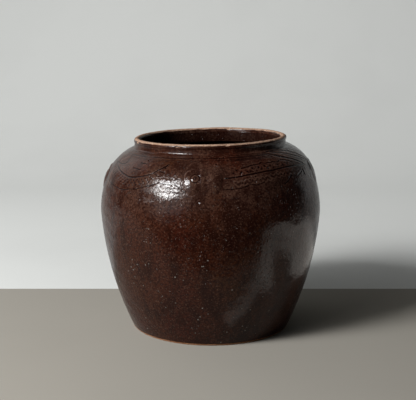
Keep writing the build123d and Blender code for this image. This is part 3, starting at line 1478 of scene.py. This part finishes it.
@dataclass
class Lip:
    """The rolled lip, worn to bare clay on its crown, with small chips."""

    skin: Skin
    clay: Material
    side_rise: float = 2.6
    roll: float = 4.6
    wear_below_crown: float = 4.5
    outer_fade: float = 0.5
    inner_fade: float = 0.6
    outer_edge: Waves = Waves(0.22, 3, 60, 41)
    inner_edge: Waves = Waves(0.4, 2, 40, 43)
    wear_depth: float = 0.18
    wear_mean: float = 0.5
    wear_pits: Waves = Waves(0.5, 20, 90, 47)
    unevenness: Waves = Waves(0.22, 2, 9, 53)
    uneven_from: Place = (0.0, 4.0)
    roll_pitch: float = 0.5
    bore_pitch: float = 0.8
    chips: tuple[Chip, ...] = (
        Chip(-23.0, 3.0, 6.0, 1.1, 0.9, 0.6),
        Chip(-22.5, 1.4, 5.0, 0.9, 0.6, -0.8),
        Chip(12.0, 5.8, 3.0, 1.6, 0.6),
        Chip(-68.0, 3.6, 4.0, 1.4, 0.5),
        Chip(164.0, 13.5, 3.2, 3.0, 1.0, 1.0),
        Chip(-134.0, 6.0, 4.5, 2.0, 0.9),
        Chip(100.0, 4.0, 5.0, 1.8, 0.7),
    )

    def wear(self, azimuth: Array, rise: Array) -> tuple[Array, Array]:
        """How bare the clay is and how far the skin is worn off, on a grid.

        Bare clay starts a wavy distance below the crown on the outside and ends a little way
        down the inside. A chip is e to the minus fourth power of the distance both ways.

        Args:
            azimuth: Degrees, one for each column.
            rise: Millimetres along the section above the lip's foot, one for each row.

        Returns:
            The bareness, and the lift of the skin in millimetres.
        """
        up = rise[:, None]
        crown = self.side_rise + 0.5 * np.pi * self.roll
        start = crown - self.wear_below_crown + self.outer_edge.line(azimuth)[None, :]
        end = crown + self.roll + self.inner_edge.line(azimuth)[None, :]
        bare = smoothstep(-self.outer_fade, self.outer_fade, up - start)
        bare = bare * (1.0 - smoothstep(-self.inner_fade, self.inner_fade, up - end))
        pits = self.wear_mean + self.wear_pits.line(azimuth)[None, :]
        uneven = self.unevenness.line(azimuth)[None, :] * smoothstep(*self.uneven_from, up)
        lift = uneven - self.wear_depth * bare * pits
        for chip in self.chips:
            near = round_from(azimuth, chip.azimuth)
            across = np.radians(near)[None, :] * self.skin.section.lip_side[0] / chip.wide
            flake = np.exp(-(across**4) - ((up - chip.along) / chip.high) ** 4)
            lift = lift - chip.depth * flake
            bare = bare + chip.bare * flake
        return np.clip(bare, 0.0, 1.0), lift

    def build(self, walls: Walls) -> Object:
        """Builds the lip, whose first and last row lie on the neck.

        Args:
            walls: The walls, for the columns that all rings share.

        Returns:
            The piece.
        """
        at = self.skin.marks
        foot, inside, bore = at[Mark.NECK_TOP], at[Mark.LIP_INSIDE], at[Mark.BORE_TOP]
        along = spaced((foot, inside, self.roll_pitch), (inside, bore, self.bore_pitch))
        bare, lift = self.wear(walls.azimuth, along - foot)
        lift[0], lift[-1] = 0.0, 0.0
        points = self.skin.points(walls.azimuth[None, :], along[:, None], lift)
        over = Band(points, np.zeros(bare.shape), bare)
        piece = clay_piece("lip_coil_skin", [over, walls.across(points[-1], points[0])])
        return dress(piece, "lip_coil", self.clay, Slot.CLAY)


@dataclass
class Foot:
    """The slab that the jar stands on and the coil in the corner above it."""

    skin: Skin
    clay: Material
    glaze: Material
    pole_gap: float = 8.0
    flat_pitch: float = 9.0
    edge_reach: float = 3.0
    edge_pitch: float = 0.6
    wobble: Waves = Waves(0.25, 3, 40, 61)
    wobble_from: Place = (1.2, 2.4)
    wobble_to: Place = (3.0, 4.1)
    coil_pitch: float = 1.6
    dabs: Waves = Waves(0.35, 8, 48, 67)

    def corner(self, azimuth: Array) -> Array:
        """The ring of points where slab, lower wall and coil meet.

        Args:
            azimuth: Degrees, one for each point.

        Returns:
            The points.
        """
        radius, height = self.skin.section.slab_edge
        turn = np.radians(azimuth)
        points = (radius * np.sin(turn), -radius * np.cos(turn), np.full(turn.size, height))
        return np.stack(points, axis=-1)

    def slab(self, walls: Walls) -> Object:
        """The slab, bare underneath and along its edge, glazed on the floor inside.

        Args:
            walls: The walls, for the columns that all rings share.

        Returns:
            The piece.
        """
        at, azimuth = self.skin.marks, walls.azimuth
        under = spaced(
            (at[Mark.FOOT_CENTRE] + self.pole_gap, -self.edge_reach, self.flat_pitch),
            (-self.edge_reach, at[Mark.BAND_TOP], self.edge_pitch),
        )
        window = smoothstep(*self.wobble_from, under) * (1.0 - smoothstep(*self.wobble_to, under))
        lift = self.wobble.line(azimuth)[None, :] * window[:, None]
        points = self.skin.points(azimuth[None, :], under[:, None], lift)
        below = Band(points, np.zeros(points.shape[:2]), np.ones(points.shape[:2]))
        edge, corner = at[Mark.COIL_SIDE], self.corner(azimuth)
        rim = self.skin.points(azimuth, edge)
        floor = spaced((edge, at[Mark.FLOOR_CENTRE] - self.pole_gap, self.flat_pitch))
        inner = plain_band(self.skin.points(azimuth[None, :], floor[:, None]))
        bands = [below, walls.across(points[-1], corner), walls.across(corner, rim), inner]
        poles = np.array([[0.0, 0.0, 0.0], [0.0, 0.0, self.skin.section.slab]])
        return dress(clay_piece("base_slab_skin", bands, poles), "base_slab", self.clay, Slot.CLAY)

    def coil(self, walls: Walls) -> Object:
        """The corner coil, smoothed over with a finger inside the jar.

        Args:
            walls: The walls, for the columns that all rings share.

        Returns:
            The piece.
        """
        at, azimuth = self.skin.marks, walls.azimuth
        along = spaced((at[Mark.COIL_TOP], at[Mark.COIL_SIDE], self.coil_pitch))
        middle = np.sin(np.linspace(0.0, np.pi, along.size))[:, None]
        lift = self.dabs.line(azimuth)[None, :] * middle
        face = plain_band(self.skin.points(azimuth[None, :], along[:, None], lift))
        corner = self.corner(azimuth)
        back, foot = walls.across(face.points[-1], corner), walls.across(corner, face.points[0])
        piece = clay_piece("corner_coil_skin", [face, back, foot])
        return dress(piece, "corner_coil", self.glaze, Slot.CLAY)


@dataclass(frozen=True)
class Mask:
    """A low animal mask laid on the shoulder: two lobes with stamped eyes, nose and muzzle."""

    node: str
    azimuth: float
    height: float
    lobe_centre: Place = (15.0, -8.0)
    lobe_half: Place = (14.0, 20.5)
    lobe_proud: float = 2.7
    eye: Place = (10.0, -3.0)
    ring_radius: float = 4.1
    ring_height: float = 0.20
    ring_width: float = 1.2
    groove_radius: float = 6.0
    groove_depth: float = 0.36
    groove_width: float = 1.3
    pit_depth: float = 0.32
    pit_width: float = 1.9
    brow_radius: float = 15.5
    brow_height: float = 0.5
    brow_width: float = 1.5
    brow_up: Place = (-8.0, 2.0)
    brow_out: Place = (-1.0, 4.0)
    right_eye: float = 1.0
    nose_reach: float = 8.0
    nose_half: float = 5.2
    nose_proud: float = 1.9
    muzzle_drop: float = 12.0
    muzzle_half: float = 10.4
    muzzle_proud: float = 1.8
    blend: float = 0.9
    lowest: float = -12.0
    sink: float = -0.35
    nearest: float = 6.0
    furthest: float = 40.0
    steps: int = 400
    rim_reach: int = 4
    rim_blur: float = 1.6
    rings: int = 60
    spokes: int = 240
    first_ring: float = 0.02
    back_depth: float = 2.2

    def relief(self, across: Array, up: Array) -> Array:
        """Height over the wall on the mask's own plane, in millimetres.

        Lobes, nose and muzzle are each proud times (1 - q squared), with q the distance from
        the middle over the half width, and join as blend times the log of the sum of
        exp(height / blend). Each eye adds a raised ring and a brow over it, and sinks a groove
        round it and a pit in its middle, all of them bells.

        Args:
            across: Millimetres to the right of the middle.
            up: Millimetres up the wall from the middle.

        Returns:
            The heights.
        """
        side = np.abs(across)
        lobe = ((side - self.lobe_centre[0]) / self.lobe_half[0]) ** 2
        lobe = lobe + ((up - self.lobe_centre[1]) / self.lobe_half[1]) ** 2
        along = np.clip(up, -self.nose_reach, self.nose_reach)
        nose = (across**2 + (up - along) ** 2) / self.nose_half**2
        muzzle = (across**2 + (up + self.muzzle_drop) ** 2) / self.muzzle_half**2
        heights = (
            self.lobe_proud * (1.0 - lobe),
            self.nose_proud * (1.0 - nose),
            self.muzzle_proud * (1.0 - muzzle),
        )
        total = sum(np.exp(np.maximum(height, self.lowest) / self.blend) for height in heights)
        joined = self.blend * np.log(total)
        reach = np.hypot(side - self.eye[0], up - self.eye[1])
        ring = self.ring_height * bell(reach - self.ring_radius, self.ring_width)
        groove = self.groove_depth * bell(reach - self.groove_radius, self.groove_width)
        pit = self.pit_depth * bell(reach, self.pit_width)
        brow = self.brow_height * bell(reach - self.brow_radius, self.brow_width)
        brow = brow * smoothstep(*self.brow_up, up) * smoothstep(*self.brow_out, side)
        stamped = np.where(across > 0.0, self.right_eye, 1.0)
        return joined + (ring + brow - groove - pit) * stamped

    def rim(self, turn: Array) -> Array:
        """How far the mask reaches from its middle in each direction.

        It is the last place along a ray where the relief is still over a shallow sink,
        averaged under a bell with the spokes next to it.

        Args:
            turn: Directions in radians.

        Returns:
            The reach in millimetres.
        """
        reach = np.linspace(self.nearest, self.furthest, self.steps)[:, None]
        over = self.relief(reach * np.cos(turn), reach * np.sin(turn)) > self.sink
        last = self.steps - 1 - np.argmax(over[::-1], axis=0)
        found = reach[last, 0]
        near = np.arange(-self.rim_reach, self.rim_reach + 1)
        share = np.exp(-0.5 * (near / self.rim_blur) ** 2)
        held = np.concatenate([found[-self.rim_reach :], found, found[: self.rim_reach]])
        return np.convolve(held, share / share.sum(), "valid")

    def build(self, skin: Skin, glaze: Material) -> Object:
        """Builds the mask on the wall, with a plain back a little way inside the clay.

        Args:
            skin: The jar's skin.
            glaze: The glaze's material.

        Returns:
            The piece.
        """
        on_outside = skin.length < skin.marks[Mark.NECK_ROOT]
        middle = float(np.interp(self.height, skin.path[on_outside, 1], skin.length[on_outside]))
        turn = np.arange(self.spokes) * 2.0 * np.pi / self.spokes
        reach = np.linspace(self.first_ring, 1.0, self.rings)[:, None] * self.rim(turn)[None, :]
        across, along = reach * np.cos(turn), middle + reach * np.sin(turn)
        azimuth = self.azimuth + np.degrees(across / skin.radius(along))
        height = self.relief(across, reach * np.sin(turn))
        # The fine relief sets the glaze's colour: paler on ridges, and dark with pooled glaze and
        # painted shade in hollows.
        fine = height - self._smoothed(height)
        front = Band(skin.points(azimuth, along, height), fine, np.zeros(fine.shape))
        sunk = skin.points(azimuth, along, np.full(height.shape, -self.back_depth))
        behind = plain_band(np.stack([sunk[-1], sunk[self.rings // 2], sunk[0]]))
        skirt = plain_band(np.stack([front.points[-1], sunk[-1]]))
        poles = (front.points[0].mean(axis=0), sunk[0].mean(axis=0))
        piece = clay_piece(self.node + "_skin", [front, skirt, behind], poles)
        return dress(piece, self.node, glaze, Slot.GLAZE)

    @staticmethod
    def _smoothed(height: Array) -> Array:
        """The heights averaged over four rings and every other one of eight spokes, both ways.

        Args:
            height: The heights, rings by spokes.

        Returns:
            The averages.
        """
        total, steps = height.copy(), (1, 2, 3, 4)
        for step in steps:
            total += np.roll(height, 2 * step, axis=1) + np.roll(height, -2 * step, axis=1)
            total += np.vstack([height[step:], np.repeat(height[-1:], step, axis=0)])
            total += np.vstack([np.repeat(height[:1], step, axis=0), height[:-step]])
        return total / (1.0 + 4.0 * len(steps))


@dataclass(frozen=True)
class SoftBox:
    """A rectangular studio lamp of even brightness."""

    name: str
    place: Point
    aim: Point
    size: tuple[float, float]
    brightness: float
    colour: Colour = (1.0, 1.0, 1.0)
    roll: float = 0.0

    def build(self) -> Object:
        """Builds the lamp, whose power is its brightness times its area times pi.

        Returns:
            The lamp.
        """
        lamp = bpy.data.lights.new(self.name, "AREA")
        lamp.shape = "RECTANGLE"
        lamp.size, lamp.size_y = self.size
        lamp.color = self.colour
        lamp.energy = self.brightness * self.size[0] * self.size[1] * np.pi
        holder = bpy.data.objects.new(self.name, lamp)
        way = Vector(self.aim) - Vector(self.place)
        holder.location = self.place
        turned = way.to_track_quat("-Z", "Y") @ Quaternion((0.0, 0.0, 1.0), np.radians(self.roll))
        holder.rotation_euler = turned.to_euler()
        bpy.context.scene.collection.objects.link(holder)
        return holder


@dataclass(frozen=True)
class Studio:
    """The plain floor and backdrop, the soft lamps and the camera, in metres."""

    floor_front: float = -0.325
    floor_back: float = 0.177
    floor_right: float = 1.15
    floor_left: float = -4.0
    floor_paint: Paint = Paint("floor_paint", (0.265, 0.25, 0.22))
    wall_away: float = 2.4
    wall_right: float = 4.0
    wall_height: float = 3.2
    sweep: float = 1.2
    sweep_rows: int = 24
    backdrop_paint: Paint = Paint("backdrop_paint", (0.57, 0.58, 0.565))
    world: float = 0.022
    jar_middle: Point = (0.0, 0.0, 0.2)
    card_height: float = 0.004
    card_colour: Colour = (1.0, 0.95, 0.88)
    camera_place: Point = (-0.00396, -1.4059, 0.4593)
    camera_pitch: float = 10.65
    camera_lens: float = 79.3
    camera_film: float = 36.0
    camera_clip: Place = (0.05, 50.0)

    def floor(self) -> Object:
        """The flat floor, which ends just outside the picture at the front."""
        profile = [(self.floor_front, 0.0), (self.floor_back, 0.0)]
        return self._sheet("floor", (self.floor_left, self.floor_right), profile)

    def backdrop(self) -> Object:
        """The paler backdrop, which lies behind the jar and curves up along a quarter circle.

        Returns:
            The backdrop.
        """
        turn = np.linspace(0.0, np.pi / 2.0, self.sweep_rows)
        away = self.wall_away - self.sweep + self.sweep * np.sin(turn)
        height = self.sweep - self.sweep * np.cos(turn)
        sweep = list(zip(away.tolist(), height.tolist()))
        profile = [(self.floor_back, 0.0), *sweep, (self.wall_away, self.wall_height)]
        return self._sheet("backdrop", (self.floor_left, self.wall_right), profile)

    @staticmethod
    def _sheet(name: str, sides: Place, profile: Sequence[Place]) -> Object:
        """A sheet of the same profile from one side to the other.

        Args:
            name: The sheet's name.
            sides: Its left and right edge.
            profile: Depth and height of each of its rows.

        Returns:
            The sheet.
        """
        points = [(x, y, z) for y, z in profile for x in sides]
        faces = [(2 * i, 2 * i + 1, 2 * i + 3, 2 * i + 2) for i in range(len(profile) - 1)]
        mesh = bpy.data.meshes.new(name)
        mesh.from_pydata(points, [], faces)
        mesh.shade_smooth()
        sheet = bpy.data.objects.new(name, mesh)
        bpy.context.scene.collection.objects.link(sheet)
        return sheet

    def lamps(self) -> list[SoftBox]:
        """The window-like key lamp on the left, and dimmer sheets of light round it."""
        jar = self.jar_middle
        return [
            SoftBox("key", (-1.62, -1.27, 1.50), jar, (0.72, 0.74), 56.0, roll=19.0),
            SoftBox("key_sides", (-1.99, -1.28, 1.37), (-1.21, 0.70, 0.60), (2.30, 0.40), 8.5),
            SoftBox("key_glow", (-1.30, -1.42, 0.56), jar, (1.15, 0.58), 1.05, roll=12.0),
            SoftBox("left_sheet", (-1.75, 1.35, 1.5), jar, (1.4, 1.4), 0.9),
            SoftBox("backdrop_lamp", (0.9, 0.75, 1.25), (0.9, 2.4, 0.35), (3.2, 0.8), 1.55),
            SoftBox("right_sheet", (2.4, 1.8, 0.46), (0.0, 0.0, 0.46), (1.4, 0.88), 0.45),
            self._card("right_card", (0.65, 0.15), (0.74, 0.40), 0.77),
            self._card("front_card", (0.78, -0.265), (0.48, 0.47), 1.05),
            self._card("middle_card", (0.46, -0.14), (0.16, 0.18), 0.7),
            self._card("long_strip", (0.345, -0.250), (0.37, 0.085), 1.0, 24.0),
            self._card("short_strip", (0.125, -0.188), (0.19, 0.030), 0.6, 16.0),
        ]

    def _card(self, name: str, middle: Place, size: Place, brightness: float,
              roll: float = 0.0) -> SoftBox:
        """A lamp that lies just over the floor and faces up, for the jar to mirror."""
        place, aim = (*middle, self.card_height), (*middle, 1.0)
        return SoftBox(name, place, aim, size, brightness, self.card_colour, roll)

    def camera(self) -> Object:
        """The camera, at the photograph's height and distance.

        Returns:
            The camera.
        """
        data = bpy.data.cameras.new("camera")
        data.sensor_width, data.lens = self.camera_film, self.camera_lens
        data.clip_start, data.clip_end = self.camera_clip
        camera = bpy.data.objects.new("camera", data)
        camera.location = self.camera_place
        camera.rotation_euler = (np.radians(90.0 - self.camera_pitch), 0.0, 0.0)
        bpy.context.scene.collection.objects.link(camera)
        bpy.context.scene.camera = camera
        return camera

    def build(self) -> None:
        """Builds the studio."""
        scene = bpy.context.scene
        scene.view_settings.view_transform = "Standard"
        world = bpy.data.worlds.new("studio_air")
        world.use_nodes = True
        air = world.node_tree.nodes["Background"]
        air.inputs["Color"].default_value = (self.world, self.world, self.world, 1.0)
        scene.world = world
        dressed = ((self.floor(), self.floor_paint), (self.backdrop(), self.backdrop_paint))
        for sheet, paint in dressed:
            sheet.data.materials.append(paint.material())
            sheet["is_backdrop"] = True
        for lamp in self.lamps():
            lamp.build()
        self.camera()


@dataclass
class Jar:
    """The whole jar: walls, lip, foot and masks."""

    skin: Skin
    glaze: Glaze = Glaze()
    lip_clay: BareClay = BareClay("worn_lip_clay", (0.41, 0.285, 0.205), (0.13, 0.064, 0.040))
    foot_clay: BareClay = BareClay("foot_clay", (0.36, 0.185, 0.10), (0.19, 0.08, 0.038))
    masks: tuple[Mask, ...] = (
        Mask("front_mask", -4.0, 256.0, right_eye=0.3),
        Mask("right_mask", 86.0, 248.0, lobe_proud=1.3, nose_proud=1.0, muzzle_proud=1.0),
        Mask("back_mask", 175.0, 252.0),
        Mask("left_mask", -92.0, 246.0),
    )

    def build(self) -> Iterable[Object]:
        """Builds every piece, one after another.

        Returns:
            The pieces, as they are built.
        """
        glaze = self.glaze.material()
        lip_clay, foot_clay = self.lip_clay.material(), self.foot_clay.material()
        walls = Walls(self.skin, glaze)
        yield from walls.build()
        yield Lip(self.skin, lip_clay).build(walls)
        foot = Foot(self.skin, foot_clay, glaze)
        yield foot.slab(walls)
        yield foot.coil(walls)
        for mask in self.masks:
            yield mask.build(self.skin, glaze)


def corners() -> list[list[float]]:
    """The lowest and highest corner of everything shown, as plain numbers."""
    return [[float(value) for value in corner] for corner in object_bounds()]


def main() -> None:
    """Loads the frame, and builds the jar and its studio."""
    logging.basicConfig(level=logging.INFO, format="%(message)s")
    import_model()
    jar = Jar(Skin(Section(), Carving()))
    for piece in jar.build():
        LOG.info("%s: %d faces", piece.name, len(piece.data.polygons))
    Studio().build()


if __name__ == "__main__":
    main()
